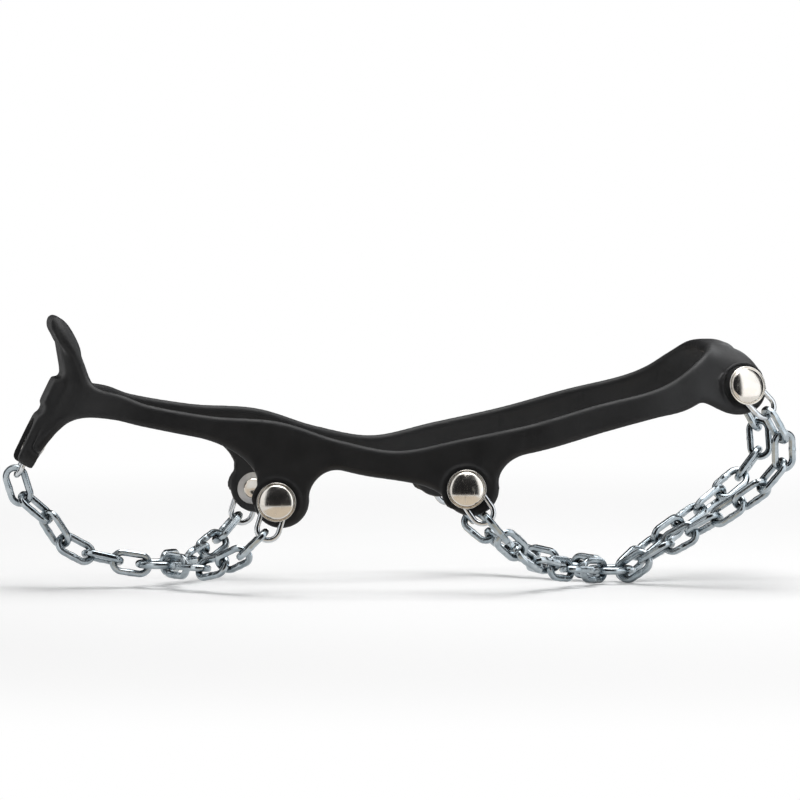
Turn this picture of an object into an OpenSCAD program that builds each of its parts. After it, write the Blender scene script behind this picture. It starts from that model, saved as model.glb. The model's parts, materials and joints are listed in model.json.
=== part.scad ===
// Shoe traction chain: a moulded rubber sling that stretches round a shoe, with seven riveted lobes
// that carry two webs of welded chain under the sole.
// +X points to the toe, +Y to the left side and +Z up. The origin is the seat of the shoe's sole.

/* [Sling] */
// Thickness of the rubber band
band_t = 4.2; // [3:0.1:6]
// Width of the side band
band_w = 10.8; // [8:0.2:16]
// Width of the band behind the heel
heel_band_w = 14; // [10:0.5:20]
// Width of the bridge over the toe
bridge_w = 13; // [10:0.5:18]
// Distance from the origin back to the band's middle behind the heel
heel_reach = 137; // [130:0.5:145]
// Distance from the origin forward to the bridge's middle
bridge_reach = 127; // [120:0.5:135]
// Half width of the sling beside the heel
heel_half = 28; // [24:0.5:34]
// Half width of the sling at the arch
arch_half = 38.5; // [34:0.5:44]
// Half width of the sling at the ball of the foot
ball_half = 48; // [44:0.5:54]
// Height of the band's middle behind the heel
heel_h = 64.5; // [58:0.5:70]
// Height of the band's middle over the arch lobe
arch_h = 53; // [48:0.5:58]
// Height of the band's middle at its lowest, between arch and ball
waist_h = 41; // [36:0.5:46]
// Height of the band's middle over the ball lobe
ball_h = 46.3; // [42:0.1:50]
// Height of the bridge's middle over the toe
bridge_h = 83.6; // [80:0.1:90]

/* [Pull tab] */
// Height of the tab above the band's middle
tab_h = 30; // [26:0.5:36]
// Half width of the tab's grip
tab_half = 11; // [8:0.5:15]
// Thickness of the tab below its grip
tab_t = 6; // [4.2:0.1:7]
// Radius of the grip bead on the tab's end
bead_r = 4.4; // [3.6:0.1:5.5]
// Height above the band's middle where the tab starts to bend back
tab_bend = 8; // [7:0.5:14]
// How far the tab's end bends back
tab_lean = 15; // [10:0.5:18]

/* [Lobes] */
// Radius of a side lobe's round end
lobe_r = 11.2; // [9.5:0.1:11.5]
// How far the rivet sits below the middle of the lobe's round end
rivet_low = 1; // [0:0.1:2.5]
// How far the rivet sits behind the middle of the lobe's round end
rivet_back = 2; // [0:0.1:3]
// Distance from the arch lobe's middle back to where it leaves the band
arch_root_back = 33; // [28:0.5:36]
// Distance from the arch lobe's middle forward to where it leaves the band
arch_root_front = 28; // [24:0.5:31]
// Distance from the ball lobe's middle back to where it leaves the band
ball_root_back = 39; // [32:0.5:41]
// Distance from the ball lobe's middle forward to where it leaves the band
ball_root_front = 21; // [19:0.5:26]
// Distance from the band's middle down to the arch rivet
arch_drop = 27; // [22:0.5:30]
// Distance from the band's middle down to the ball rivet
ball_drop = 15.5; // [13:0.5:18]
// Thickness of the heel pad
heel_pad_t = 7.2; // [6.5:0.1:9]
// Half width of the heel pad
heel_pad_half = 11.5; // [10:0.1:11.8]
// Distance from the band's middle down to the heel rivet
heel_drop = 18.6; // [16:0.2:20]
// Radius of the heel pad's upper corners
heel_pad_corner = 4; // [2:0.5:7]
// Radius of the heel pad's rounded outer edges
heel_pad_edge = 2.4; // [1:0.2:3]
// Radius of a toe lobe's round end
toe_lobe_r = 10.6; // [9.5:0.1:11]
// Reach of the fillet between a toe lobe and the bridge
toe_fillet = 9; // [6:0.5:12]

/* [Rivets] */
// Radius of a rivet cap
cap_r = 7.8; // [7:0.1:9.5]
// Height of a cap's dome above its rim
cap_dome = 3; // [2:0.1:4]
// Height of the heel cap's flatter dome, which lies in the pad's recess
heel_cap_dome = 1.6; // [1:0.1:2.5]
// Thickness of a cap's rim
cap_rim = 0.9; // [0.6:0.1:1.5]
// Radius of a rivet stem
stem_r = 2.5; // [2:0.1:2.9]
// Radius of the washer inside a lobe
washer_r = 6.5; // [5.5:0.1:8]
// Thickness of the washer inside a lobe
washer_t = 1; // [0.6:0.1:1.5]
// Radius of a stem's inner flange
flange_r = 4; // [3.4:0.1:5]
// Thickness of a stem's inner flange
flange_t = 0.7; // [0.4:0.1:1]

/* [Chain] */
// Width of the square wire of a chain link
link_wire = 2.6; // [2:0.1:3]
// Width of the opening in a chain link
link_gap = 5; // [4.6:0.1:6]
// Length of the opening in a chain link
link_opening = 12.1; // [11.4:0.1:13]
// Chamfer along the edges of a chain link
link_chamfer = 0.65; // [0.5:0.05:0.8]
// Diameter of the round wire of a hook link
hook_wire = 2.2; // [1.8:0.1:2.6]
// Width of the opening in a hook link
hook_gap = 6.6; // [6.2:0.1:7.6]
// Length of the opening in a hook link
hook_opening = 17.2; // [16.8:0.1:19]
// Diameter of the wire of a middle ring
ring_wire = 3; // [2.4:0.1:3.6]
// Inside diameter of a middle ring
ring_in = 13; // [12:0.1:16]

/* [Fits] */
// Play between one link's bow and the next
link_play = 0.45; // [0.3:0.05:0.6]
// Play between a strand's last link and its ring
ring_play = 1; // [0.6:0.05:1.2]
// Play between a hook link and the faces on either side of it
hook_play = 0.3; // [0.2:0.05:0.5]
// Play between a stem and the holes that it passes through
stem_play = 0.1; // [0.05:0.05:0.3]

/* [Hidden] */
$fn = 48;
up = [0, 0, 1];
heel_tilt = 26;
toe_yaw = 17;
toe_tilt = 12;

// The band's middle line on the right side, heel to bridge: x, y, z, tilt of its face, half width
stations = [
  [-heel_reach, 0, heel_h, heel_tilt, heel_band_w / 2],
  [-heel_reach + 5, -heel_half * 0.6, heel_h + 0.8, 22, heel_band_w * 0.44],
  [-heel_reach + 19.5, -heel_half, heel_h - 0.6, 14, heel_band_w * 0.38],
  [-105, -lerp(heel_half, arch_half, 0.43), lerp(heel_h, arch_h, 0.36), 8, band_w * 0.42],
  [-80, -lerp(heel_half, arch_half, 0.72), lerp(heel_h, arch_h, 0.76), 5, band_w * 0.44],
  [-54.3, -arch_half, arch_h, 6, band_w / 2],
  [-31, -lerp(arch_half, ball_half, 0.26), lerp(arch_h, waist_h, 0.64), 6, band_w * 0.54],
  [-6, -lerp(arch_half, ball_half, 0.6), waist_h, 8, band_w * 0.53],
  [20.6, -ball_half, ball_h, 9, band_w / 2],
  [48.5, -ball_half - 1.5, lerp(ball_h, bridge_h, 0.146), 10, band_w * 0.53],
  [74.5, -ball_half + 0.5, lerp(ball_h, bridge_h, 0.338), 12, band_w * 0.53],
  [95, -ball_half + 2, lerp(ball_h, bridge_h, 0.473), 14, band_w * 0.51],
  [bridge_reach - 20, -ball_half + 5, lerp(ball_h, bridge_h, 0.57), 18, bridge_w * 0.5],
  [bridge_reach - 10.5, -ball_half + 9, lerp(ball_h, bridge_h, 0.725), 28, bridge_w * 0.53],
  [bridge_reach - 3, -ball_half + 17, lerp(ball_h, bridge_h, 0.88), 52, bridge_w * 0.55],
  [bridge_reach, -ball_half + 32, bridge_h - 0.8, 77, bridge_w * 0.52],
  [bridge_reach, 0, bridge_h, 90, bridge_w / 2]
];
last = len(stations) - 1;
arch_at = 5;
ball_at = 8;

link_r = link_gap / 2;
hook_r = hook_gap / 2;
ring_r = ring_in / 2;
link_span = link_opening - link_gap;
hook_span = hook_opening - hook_gap;
chain_pitch = link_opening - link_play;
link_turns = 24;
seat_gap = 0.2;
seat_room = 0.4;
cap_lift = hook_wire + 2 * hook_play;

// The rings lie flat below the sole
forefoot_ring_at = [85, 0, -5];
heel_ring_at = [-97, 0, -1];

// Where each rivet sits: the middle of its lobe, the way out, the way down, the height of the hook link's
// seat, the depth of the washer's seat and the height of the cap's dome
heel_down = [-sin(heel_tilt), 0, -cos(heel_tilt)];
heel_out = [-cos(heel_tilt), 0, sin(heel_tilt)];
heel_pad_sunk = 3;
heel_pad_out = band_t / 2 - heel_pad_sunk + heel_pad_t / 2;
heel_rivet = [-heel_reach, 0, heel_h] + heel_down * heel_drop + heel_out * heel_pad_out;
heel_cap_top = cap_lift + cap_rim + heel_cap_dome;
toe_out = [sin(toe_yaw) * cos(toe_tilt), -cos(toe_yaw) * cos(toe_tilt), sin(toe_tilt)];
toe_along = [cos(toe_yaw), sin(toe_yaw), 0];
toe_rivet = [bridge_reach + 6, -ball_half + 13.5, lerp(ball_h, bridge_h, 0.634)];
sunk = washer_t + flange_t;
toe_down = cross(toe_along, toe_out);
toe_frame = [toe_rivet, toe_along, toe_out, toe_down];
toe_row = [toe_rivet, toe_out, toe_down, band_t / 2 + seat_gap, band_t / 2 - sunk, cap_dome];
rivets_at = [
  [heel_rivet, heel_out, heel_down, heel_pad_t / 2 - heel_cap_top, heel_pad_t / 2, heel_cap_dome],
  side_rivet(arch_at, arch_drop),
  flip(side_rivet(arch_at, arch_drop)),
  side_rivet(ball_at, ball_drop),
  flip(side_rivet(ball_at, ball_drop)),
  toe_row,
  flip(toe_row)
];

// Each strand: name, its rivet, its ring, how many links, and the points that it passes on its way. It has as
// many links as the straight way needs, and the spare ones that let it hang
side_spare = 0.5;
toe_spare = 1.5;
// Links in the heel strand: its last one has to stand upright in the ring
heel_links = 7;
ball_route = [[25, -53, 13], [30, -52, 5], [38, -48, -5], [46, -41, -11], [60, -26, -10], [74, -13, -7]];
toe_route = [
  [146, -37, 58], [150, -35, 46], [148, -34, 39], [141, -32, 32], [124, -25, 19], [103, -14, 5]
];
arch_route = [[-57, -45, 13], [-63, -44, 7], [-70, -39, 1], [-82, -27, -3]];
heel_route = [[-157, 0, 36], [-145, 0, 28], [-138, 0, 17], [-133, 0, 11], [-118, 0, 4]];
strands = [
  strand("ball_right", 3, forefoot_ring_at, side_spare, ball_route),
  strand("ball_left", 4, forefoot_ring_at, side_spare, mirrored(ball_route)),
  strand("toe_right", 5, forefoot_ring_at, toe_spare, toe_route),
  strand("toe_left", 6, forefoot_ring_at, toe_spare, mirrored(toe_route)),
  strand("arch_right", 1, heel_ring_at, side_spare, arch_route),
  strand("arch_left", 2, heel_ring_at, side_spare, mirrored(arch_route)),
  ["heel", 0, heel_ring_at, heel_links, heel_route]
];
laid = [for (s = strands) lay(s)];

// Small helpers
function lerp(a, b, f) = a + (b - a) * f;
function unit(v) = v / norm(v);
function flat(v) = [v.x, v.y, 0];
function other_side(p) = [p.x, -p.y, p.z];
function mirrored(points) = [for (p = points) other_side(p)];
function flip(r) = [other_side(r[0]), other_side(r[1]), other_side(r[2]), r[3], r[4], r[5]];
function link_name(s, k) = str(s[0], "_link_", k);
function ease(f) = let (g = min(1, max(0, f))) g * g * (3 - 2 * g);

// The band's middle line as a smooth curve through the stations, mirrored past both ends
function turned(row) = [row[0], -row[1], row[2], row[3], row[4]];
function station(i) = i < 0 ? turned(stations[-i]) : i > last ? turned(stations[2 * last - i]) : stations[i];
function curve(a, b, c, d, f) =
  0.5 * (2 * b + (c - a) * f + (2 * a - 5 * b + 4 * c - d) * f * f + (3 * b - a - 3 * c + d) * f * f * f);
function along(t) =
  let (i = min(last - 1, max(0, floor(t))))
  curve(station(i - 1), station(i), station(i + 1), station(i + 2), t - i);
function place(row) = [row[0], row[1], row[2]];
function speed(t) = norm(place(along(t + 0.02)) - place(along(t - 0.02))) / 0.04;

// Frame of the band at t: middle, way along, way out, way down, half width
function frame(t) =
  let (row = along(t))
  let (way = unit(place(along(t + 0.02)) - place(along(t - 0.02))))
  let (side = unit([way.y, -way.x, 0]))
  let (lift = side * cos(row[3]) + up * sin(row[3]))
  let (out = unit(lift - (lift * way) * way))
  [place(row), way, out, cross(way, out), row[4]];
// Frame of a side lobe, which hangs straight down from the band
function lobe_frame(t) =
  let (f = frame(t), way = unit(flat(f[1])), tilt = along(t)[3])
  let (out = [way.y, -way.x, 0] * cos(tilt) + up * sin(tilt))
  [f[0], way, out, cross(way, out)];
function side_rivet(t, drop) =
  let (f = lobe_frame(t))
  [f[0] + f[3] * drop, f[2], f[3], band_t / 2 + seat_gap, band_t / 2 - sunk, cap_dome];

// The pull tab raises the upper edge behind the heel and carries a bead
tab_from = tab_half * 0.75;
tab_to = heel_half * 0.97;
function tab_share(t) = t > 3 ? 0 : 1 - ease((abs(along(t)[1]) - tab_from) / (tab_to - tab_from));
function grip_share(t) = t > 2 ? 0 : 1 - ease((abs(along(t)[1]) - tab_half * 0.8) / (tab_half * 0.5));
function upper(t) = let (h = along(t)[4]) -lerp(h, tab_h, pow(tab_share(t), 1.6));
function stand_off(t, w) = tab_lean * tab_share(t) * max(0, -w - tab_bend) / (tab_h - tab_bend);

// A point of the sling's middle surface with its way out: on the band at t and w, or on a flat lobe
function skin(t, w) = let (f = frame(t)) f[0] + f[3] * w + f[2] * stand_off(t, w);
function on_band(t, w) = [skin(t, w), frame(t)[2]];
function on_lobe(f, x, y) = [f[0] + f[1] * x + f[3] * y, f[2]];
function mixed(a, b, f) = [lerp(a[0], b[0], f), unit(lerp(a[1], b[1], f))];

// The lower edge in stretches: a point, its way out, and the t of the upper edge above it
function plain_rail(a, b, n) =
  [for (i = [0 : n - 1]) let (t = lerp(a, b, i / n)) concat(edge_spot(t), [t])];

// A fillet of the lower edge: a smooth curve from one spot, along its way, to another spot and its way
function bent(a, way_a, b, way_b, f) =
  let (g = 1 - f, from = a[0] + way_a, to = b[0] - way_b)
  [
    a[0] * g * g * g + from * 3 * g * g * f + to * 3 * g * f * f + b[0] * f * f * f,
    unit(lerp(a[1], b[1], ease(f)))
  ];
function edge_spot(t) = on_band(t, along(t)[4]);
function edge_way(t) = unit(edge_spot(t + 0.02)[0] - edge_spot(t - 0.02)[0]);
function apart(a, b) = norm(a[0] - b[0]);

// A side lobe: a fillet from the band, a round head, and a fillet back to the band. Each row holds the lobe's
// t, the drop of its rivet, its reach back and forward, and the angles where the head starts and ends.
fillet_steps = 9;
head_steps = 14;
band_pull = 0.5;
head_pull = 0.25;
arch_lobe = [arch_at, arch_drop, arch_root_back, arch_root_front, 205, -5];
ball_lobe = [ball_at, ball_drop, ball_root_back, ball_root_front, 150, -8];
function lobe_from(l) = l[0] + (rivet_back - l[2]) / speed(l[0]);
function lobe_to(l) = l[0] + (rivet_back + l[3]) / speed(l[0]);
function head_spot(l, a) =
  on_lobe(lobe_frame(l[0]), rivet_back + lobe_r * cos(a), l[1] - rivet_low + lobe_r * sin(a));
function head_way(f, a) = f[1] * sin(a) - f[3] * cos(a);
function lobe_rail(l) =
  let (f = lobe_frame(l[0]), start = edge_spot(lobe_from(l)), end = edge_spot(lobe_to(l)))
  let (first = head_spot(l, l[4]), final = head_spot(l, l[5]))
  let (in = apart(start, first), off = apart(final, end))
  let (spots = concat(
    [for (i = [0 : fillet_steps - 1])
      bent(start, edge_way(lobe_from(l)) * in * band_pull, first, head_way(f, l[4]) * in * head_pull,
        i / fillet_steps)],
    [for (i = [0 : head_steps]) head_spot(l, lerp(l[4], l[5], i / head_steps))],
    [for (i = [1 : fillet_steps - 1])
      bent(final, head_way(f, l[5]) * off * head_pull, end, edge_way(lobe_to(l)) * off * band_pull,
        i / fillet_steps)]
  ))
  let (n = len(spots))
  [for (i = [0 : n - 1]) concat(spots[i], [lerp(lobe_from(l), lobe_to(l), i / n)])];

// The toe lobe: a curve from the band that dips below it, a round head, and a fillet up to the bridge's edge
toe_from = 12.4;
toe_round_from = 13.5;
toe_round_to = 14.2;
toe_to = 15.2;
toe_open = 70;
toe_close = -25;
toe_band_pull = 0.2;
toe_head_pull = 0.52;
function toe_head(a) = on_lobe(toe_frame, toe_lobe_r * cos(a), toe_lobe_r * sin(a));
toe_run = apart(edge_spot(toe_from), toe_head(toe_open));
toe_rail = concat(
  [for (i = [0 : fillet_steps - 1])
    let (f = i / fillet_steps)
    concat(
      bent(edge_spot(toe_from), edge_way(toe_from) * toe_run * toe_band_pull, toe_head(toe_open),
        head_way(toe_frame, toe_open) * toe_run * toe_head_pull, f),
      [lerp(toe_from, toe_round_from, f)]
    )],
  [for (i = [0 : fillet_steps])
    let (f = i / fillet_steps)
    concat(toe_head(lerp(toe_open, toe_close, f)), [lerp(toe_round_from, toe_round_to, f)])],
  [for (i = [1 : 4])
    let (f = i / 5, a = toe_head(toe_close), c = edge_spot(toe_to))
    let (b = [a[0] + head_way(toe_frame, toe_close) * toe_fillet, a[1]])
    concat(mixed(mixed(a, b, f), mixed(b, c, f), f), [lerp(toe_round_to, toe_to, f)])]
);
rail = concat(
  plain_rail(0, 2, 14),
  plain_rail(2, lobe_from(arch_lobe), 7),
  lobe_rail(arch_lobe),
  plain_rail(lobe_to(arch_lobe), lobe_from(ball_lobe), 2),
  lobe_rail(ball_lobe),
  plain_rail(lobe_to(ball_lobe), toe_from, 12),
  toe_rail,
  plain_rail(toe_to, last, 8),
  [concat(edge_spot(last), [last])]
);

// One closed section of the sling, from its upper edge down its outer face and up its inner face. Its edges
// are rounded by one more point on each side, and the bead narrows to the band at its neck.
round_at = 0.3;
round_out = 0.7;
neck_at = 1.9;
face_steps = [0.22, 0.45, 0.7];
function low_at(i) =
  let (n = len(rail) - 1)
  i < 0 ? other_side(rail[1][0]) : i > n ? other_side(rail[n - 1][0]) : rail[i][0];
function pushed(spot, k) = spot[0] + spot[1] * k;
function section(i) =
  let (low = rail[i][0], out = rail[i][1], t = rail[i][2], r = band_t / 2)
  let (edge = unit(cross(low_at(i + 1) - low_at(i - 1), out)))
  let (foot = [low - edge * r, out], heel = [low - edge * r * round_at, out])
  let (bead = lerp(r, bead_r, grip_share(t)), top = upper(t), neck_w = top + bead * neck_at)
  let (neck_r = lerp(r, tab_t / 2, tab_share(t)))
  let (round = on_band(t, top + bead * round_at), full = on_band(t, top + bead), neck = on_band(t, neck_w))
  let (mids = [for (f = face_steps)
    let (spot = mixed(neck, foot, f), w = lerp(neck_w, along(t)[4], f))
    [spot[0] + frame(t)[2] * (stand_off(t, w) - stand_off(t, neck_w) * (1 - f)), spot[1]]])
  concat(
    [skin(t, top), pushed(round, bead * round_out), pushed(full, bead), pushed(neck, neck_r)],
    [for (j = [0 : len(mids) - 1]) pushed(mids[j], lerp(neck_r, r, face_steps[j]))],
    [pushed(foot, r), pushed(heel, r * round_out), low, pushed(heel, -r * round_out), pushed(foot, -r)],
    [for (j = [len(mids) - 1 : -1 : 0]) pushed(mids[j], -lerp(neck_r, r, face_steps[j]))],
    [pushed(neck, -neck_r), pushed(full, -bead), pushed(round, -bead * round_out)]
  );

// The closed loft of all sections, right side then left
half_loft = [for (i = [0 : len(rail) - 1]) section(i)];
loft = concat(half_loft, [for (i = [len(rail) - 2 : -1 : 1]) mirrored(half_loft[i])]);
module sling_loft() {
  n = len(loft);
  m = len(loft[0]);
  points = [for (s = loft) for (p = s) p];
  faces = [for (i = [0 : n - 1]) for (j = [0 : m - 1])
    let (a = i * m + j, b = i * m + (j + 1) % m)
    let (c = ((i + 1) % n) * m + (j + 1) % m, d = ((i + 1) % n) * m + j)
    each [[a, c, b], [a, d, c]]];
  polyhedron(points, faces);
}

// Turns a shape from its own axes, x down, y along and z out, to a place on the sling
module seat_on(at, out, down) {
  side = cross(out, down);
  multmatrix([
    [down.x, side.x, out.x, at.x],
    [down.y, side.y, out.y, at.y],
    [down.z, side.z, out.z, at.z],
    [0, 0, 0, 1]
  ]) children();
}
module at_rivet(r) {
  seat_on(r[0], r[1], r[2]) children();
}

// Thick pad behind the heel: a plate with a round lower end, and rounded edges at top and bottom
heel_pad_top = heel_drop + heel_band_w / 2 + 2.4;
module heel_pad() {
  c = heel_pad_corner;
  e = heel_pad_edge;
  r = heel_pad_half;
  end = r - rivet_low;
  at_rivet(rivets_at[0])
    intersection() {
      translate([0, 0, -heel_pad_t / 2])
        linear_extrude(heel_pad_t)
          union() {
            translate([-rivet_low, 0]) circle(r);
            translate([c - heel_pad_top, -r]) square([heel_pad_top - c - rivet_low, 2 * r]);
            translate([-heel_pad_top, c - r]) square([heel_pad_top - rivet_low, 2 * (r - c)]);
            for (side = [-1, 1]) translate([c - heel_pad_top, side * (r - c)]) circle(c);
          }
      rotate([90, 0, 0])
        translate([0, 0, -r - 1])
          linear_extrude(2 * r + 2)
            union() {
              translate([-heel_pad_top, -heel_pad_t / 2]) square([heel_pad_top + end, heel_pad_t - e]);
              translate([e - heel_pad_top, -heel_pad_t / 2]) square([heel_pad_top + end - 2 * e, heel_pad_t]);
              for (x = [e - heel_pad_top, end - e]) translate([x, heel_pad_t / 2 - e]) circle(e);
            }
    }
}

// Hole and washer seat for one rivet
module rivet_room(r) {
  tall = 30;
  at_rivet(r) {
    translate([0, 0, -tall / 2]) cylinder(r = stem_r + stem_play, h = tall);
    translate([0, 0, -r[4] - tall]) cylinder(r = washer_r + stem_play, h = tall);
  }
}

// Recess in the heel pad for the cap and the hook link, open at the pad's lower end
module hook_recess(r) {
  wide = cap_r + seat_room;
  at_rivet(r)
    translate([0, 0, r[3]]) {
      cylinder(r = wide, h = heel_pad_t);
      translate([0, -wide, 0]) cube([heel_pad_half + 1, 2 * wide, heel_pad_t]);
    }
}

module rubber_sling() {
  color([0.14, 0.14, 0.15]) {
    difference() {
      sling_loft();
      for (i = [1 : 6]) rivet_room(rivets_at[i]);
    }
    difference() {
      heel_pad();
      rivet_room(rivets_at[0]);
      hook_recess(rivets_at[0]);
    }
  }
}

// Domed rivet: its cap stands over the hook link, and its stem is closed over the washer by a flange
dome_edge = 0.4;
module rivet(r) {
  dome_r = cap_r - dome_edge;
  ball_r = (dome_r * dome_r + r[5] * r[5]) / (2 * r[5]);
  inner = r[4] + washer_t;
  cap_at = r[3] + cap_lift;
  at_rivet(r) {
    translate([0, 0, -inner - flange_t]) cylinder(r = flange_r, h = flange_t);
    translate([0, 0, -inner - flange_t]) cylinder(r = stem_r, h = inner + flange_t + cap_at + cap_rim / 2);
    translate([0, 0, cap_at]) cylinder(r = cap_r, h = cap_rim);
    translate([0, 0, cap_at])
      intersection() {
        translate([0, 0, cap_rim + r[5] - ball_r]) sphere(ball_r);
        cylinder(r = cap_r, h = cap_rim + r[5]);
      }
  }
}
module rivets() {
  color([0.8, 0.78, 0.74]) for (r = rivets_at) rivet(r);
}

module rivet_washers() {
  color([0.72, 0.72, 0.72])
    for (r = rivets_at)
      at_rivet(r)
        translate([0, 0, -r[4] - washer_t])
          difference() {
            cylinder(r = washer_r, h = washer_t);
            translate([0, 0, -1]) cylinder(r = stem_r + stem_play, h = washer_t + 2);
          }
}

// How the links of a strand follow each other
function bow_r(k) = k == 1 ? hook_r : link_r;
function span(k) = k == 1 ? hook_span : link_span;
function outward(s, k) =
  let (start = rivets_at[s[1]][1], f = ease((k - 1) / (s[3] - 1)))
  unit(lerp(start, -up, f) + (1 - abs(2 * f - 1)) * 0.15 * flat(start));
function twist(s, k) = s[3] % 2 == 0 ? 0 : 90 * (k - 1) / (s[3] - 1);
function link_normal(s, k, way) =
  let (out = outward(s, k), lying = unit(out - (out * way) * way))
  let (q = twist(s, k) + (k % 2 == 1 ? 0 : 90))
  lying * cos(q) + cross(way, lying) * sin(q);
function first_bow(s, way) =
  let (r = rivets_at[s[1]])
  r[0] + r[1] * (r[3] + hook_play + hook_wire / 2) + way * (hook_r - stem_r - hook_play);
function first_way(s, way) = let (out = rivets_at[s[1]][1]) unit(way - (way * out) * out);
function seam(a, b, way) = let (u = unit(cross(a, b))) u * way < 0 ? -u : u;

// The links from number k on, each as [bow middle, way, normal]
function follow(s, ways, bow, k) =
  let (way = ways[k - 1], normal = link_normal(s, k, way))
  k == s[3] ? [[bow, way, normal]] :
  let (next = seam(normal, link_normal(s, k + 1, ways[k]), way))
  let (reach = bow_r(k) + bow_r(k + 1) - link_play)
  concat([[bow, way, normal]], follow(s, ways, bow + way * span(k) + next * reach, k + 1));
function links_of(s, ways) = follow(s, ways, first_bow(s, ways[0]), 1);
function end_of(links) = let (z = links[len(links) - 1]) z[0] + z[1] * span(len(links));

// Ways along the hand-chosen route, then turned step by step until the strand meets its ring
function run_of(points, i) = i == 0 ? 0 : run_of(points, i - 1) + norm(points[i] - points[i - 1]);
function on_run(points, d, i = 1) =
  let (step = norm(points[i] - points[i - 1]))
  d <= step || i == len(points) - 1
    ? lerp(points[i - 1], points[i], d / step)
    : on_run(points, d - step, i + 1);
function strand_start(rivet) = let (r = rivets_at[rivet]) r[0] + r[1] * (r[3] + hook_wire);
function strand(name, rivet, ring, spare, route) =
  let (straight = norm(ring_side([name, rivet, ring, 0, route]) - strand_start(rivet)))
  [name, rivet, ring, ceil(straight / chain_pitch + spare), route];
function ring_side(s) =
  let (q = s[4][len(s[4]) - 1])
  s[2] + unit(flat(q - s[2])) * (ring_r + link_r - ring_play);
function guess(s) =
  let (points = concat([strand_start(s[1])], s[4], [ring_side(s)]))
  let (long = run_of(points, len(points) - 1), n = s[3])
  [for (k = [1 : n])
    unit(on_run(points, long * min(1, (k + 0.1) / n)) - on_run(points, long * max(0, (k - 1.1) / n)))];
function settle(s, ways, turns) =
  let (fixed = [for (k = [1 : s[3]]) k == 1 ? first_way(s, ways[0]) : ways[k - 1]])
  turns == 0 ? fixed :
  let (miss = ring_side(s) - end_of(links_of(s, fixed)))
  settle(s, [for (w = fixed) unit(w * chain_pitch + miss / s[3])], turns - 1);
function lay(s) = links_of(s, settle(s, guess(s), link_turns));

// Puts a link, drawn along x from its first bow and flat in xy, in its place
module in_place(l) {
  wide = cross(l[2], l[1]);
  multmatrix([
    [l[1].x, wide.x, l[2].x, l[0].x],
    [l[1].y, wide.y, l[2].y, l[0].y],
    [l[1].z, wide.z, l[2].z, l[0].z],
    [0, 0, 0, 1]
  ]) children();
}
module link_loop(r, span) {
  rotate([0, 0, 90]) rotate_extrude(angle = 180) translate([r, 0]) children();
  translate([span, 0, 0]) rotate([0, 0, -90]) rotate_extrude(angle = 180) translate([r, 0]) children();
  for (side = [-1, 1])
    translate([0, side * r, 0]) rotate([90, 0, 90]) linear_extrude(span) children();
}
module square_wire() {
  h = link_wire / 2;
  c = link_chamfer;
  polygon([
    [h, h - c], [h - c, h], [c - h, h], [-h, h - c],
    [-h, c - h], [c - h, -h], [h - c, -h], [h, c - h]
  ]);
}
module chain_link(l) {
  color([0.75, 0.78, 0.82]) in_place(l) link_loop(link_r + link_wire / 2, link_span) square_wire();
}
module hook_link(l) {
  color([0.82, 0.82, 0.82])
    in_place(l) link_loop(hook_r + hook_wire / 2, hook_span) circle(d = hook_wire, $fn = 24);
}
module middle_ring(at) {
  color([0.75, 0.78, 0.82])
    translate(at) rotate_extrude() translate([ring_r + ring_wire / 2, 0]) circle(d = ring_wire);
}
module forefoot_ring() {
  middle_ring(forefoot_ring_at);
}
module heel_ring() {
  middle_ring(heel_ring_at);
}

rubber_sling();
rivets();
rivet_washers();
forefoot_ring();
heel_ring();
for (i = [0 : len(strands) - 1])
  for (k = [1 : strands[i][3]])
    union() {
      if (k == 1) hook_link(laid[i][0]);
      else chain_link(laid[i][k - 1]);
    }
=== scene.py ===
"""Looks of the traction chain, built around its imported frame. Sizes are in millimetres, but for the studio's."""

import json
import math

import bmesh
import bpy
import numpy as np
from mathutils import Matrix, Vector


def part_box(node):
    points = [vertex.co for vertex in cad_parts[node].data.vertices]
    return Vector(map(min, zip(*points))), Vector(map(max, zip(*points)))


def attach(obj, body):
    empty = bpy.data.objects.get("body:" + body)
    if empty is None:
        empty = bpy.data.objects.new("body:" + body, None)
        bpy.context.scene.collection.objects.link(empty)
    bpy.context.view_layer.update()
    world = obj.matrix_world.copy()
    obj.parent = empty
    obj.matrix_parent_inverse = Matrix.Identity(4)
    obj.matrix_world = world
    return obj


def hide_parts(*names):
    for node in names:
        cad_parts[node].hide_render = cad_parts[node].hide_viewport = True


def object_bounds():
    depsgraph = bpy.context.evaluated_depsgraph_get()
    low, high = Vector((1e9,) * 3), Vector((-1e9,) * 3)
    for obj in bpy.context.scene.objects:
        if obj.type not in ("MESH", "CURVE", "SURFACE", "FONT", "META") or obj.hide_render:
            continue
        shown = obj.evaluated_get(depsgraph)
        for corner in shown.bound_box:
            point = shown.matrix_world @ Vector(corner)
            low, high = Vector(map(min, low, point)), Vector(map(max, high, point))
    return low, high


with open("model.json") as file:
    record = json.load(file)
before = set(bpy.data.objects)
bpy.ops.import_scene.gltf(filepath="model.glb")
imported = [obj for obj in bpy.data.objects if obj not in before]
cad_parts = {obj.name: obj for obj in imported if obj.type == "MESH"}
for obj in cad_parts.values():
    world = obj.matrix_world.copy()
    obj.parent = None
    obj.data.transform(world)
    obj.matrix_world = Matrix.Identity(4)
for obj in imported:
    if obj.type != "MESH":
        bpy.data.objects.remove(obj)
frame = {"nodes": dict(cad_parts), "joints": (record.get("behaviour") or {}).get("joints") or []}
cad_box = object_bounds()

MM = 0.001
UP = np.array([0.0, 0.0, 1.0])
OTHER_SIDE = np.array([1.0, -1.0, 1.0])

# Rubber sling
BAND_T = 4.2
TAB_H = 30.0
TAB_HALF = 11.0
TAB_T = 6.0
BEAD_R = 5.6
NECK_AT = 1.7
TAB_BEND = 8.0
TAB_LEAN = 15.0
TAB_FROM = TAB_HALF * 0.75
TAB_TO = 27.16
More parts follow.
